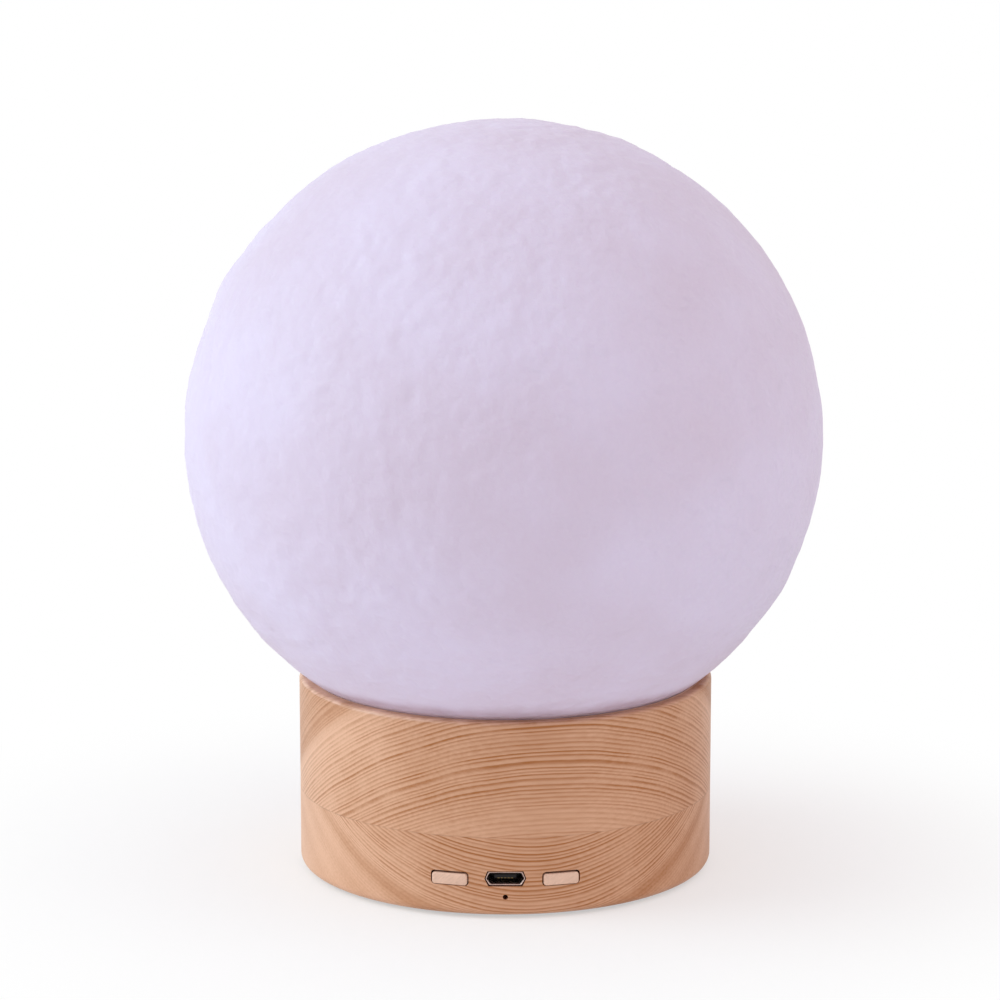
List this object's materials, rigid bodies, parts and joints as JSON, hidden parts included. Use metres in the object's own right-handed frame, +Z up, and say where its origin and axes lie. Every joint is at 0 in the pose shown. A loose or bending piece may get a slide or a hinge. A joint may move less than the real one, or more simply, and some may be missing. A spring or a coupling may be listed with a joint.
{
  "type": "moon lamp",
  "caption": "Moon lamp: a softly cratered matt globe set in the dish of a round wooden base with a charging port and push buttons at its front.",
  "frame": {"origin": "centre of the feet's undersides, on the lamp's axis, at table height", "axes": "+Z up along the lamp's axis; the charging port and the buttons face -Y; +X to the right seen from the port's side"},
  "size_m": [0.1244, 0.1243, 0.1489],
  "materials": {
    "globe": "matt, fine moon relief, slightly translucent",
    "wood": "clear satin finish over turned softwood",
    "base_plastic": "fine moulded texture",
    "screw_steel": "bright zinc",
    "foot_rubber": "matt",
    "button": "satin",
    "switch_plunger": "satin",
    "switch_body": "satin",
    "board": "solder mask",
    "port_metal": "bright nickel",
    "port_plastic": "satin",
    "contact": "bright",
    "status_light": "clear lens",
    "chip": "satin",
    "tinned": "tinned",
    "inductor": "ferrite",
    "capacitor": "matt",
    "socket": "natural nylon",
    "battery": "pouch foil",
    "foam": "closed-cell foam",
    "lead_red": "silicone sleeve",
    "lead_white": "silicone sleeve",
    "lamp_board": "white solder mask on metal",
    "light": "phosphor in a clear lens",
    "collar": "moulded"
  },
  "bodies": {
    "base": {"globe": "globe", "upper_board": "wood", "lower_board": "wood", "bottom_plate": "base_plastic", "plate_screws": "screw_steel", "rubber_feet": "foot_rubber", "left_switch_housing": "switch_body", "right_switch_housing": "switch_body", "control_board": "board", "control_board_screws": "screw_steel", "port_shell": "port_metal", "port_insert": "port_plastic", "port_contacts": "contact", "status_led": "status_light", "charge_chip": "chip", "chip_legs": "tinned", "power_inductor": "inductor", "chip_capacitors": "capacitor", "board_sockets": "socket", "battery_cell": "battery", "battery_pad": "foam", "battery_plug": "socket", "battery_leads": "lead_red", "lamp_plug": "socket", "lamp_leads": "lead_white", "lamp_board": "lamp_board", "lamp_lights": "light", "lamp_board_screws": "screw_steel", "globe_collar": "collar", "collar_screws": "screw_steel"},
    "left_button": {"left_button_cap": "button", "left_switch_plunger": "switch_plunger"},
    "right_button": {"right_button_cap": "button", "right_switch_plunger": "switch_plunger"}
  },
  "joints": [
    {"name": "left_button_press", "type": "slide", "parent": "base", "child": "left_button", "axis": [0.261, 0.9653, 0], "range_m": [0, 0.00035], "stiffness_N_per_m": 4000, "springref_m": -0.0001},
    {"name": "right_button_press", "type": "slide", "parent": "base", "child": "right_button", "axis": [-0.261, 0.9653, 0], "range_m": [0, 0.00035], "stiffness_N_per_m": 4000, "springref_m": -0.0001}
  ]
}
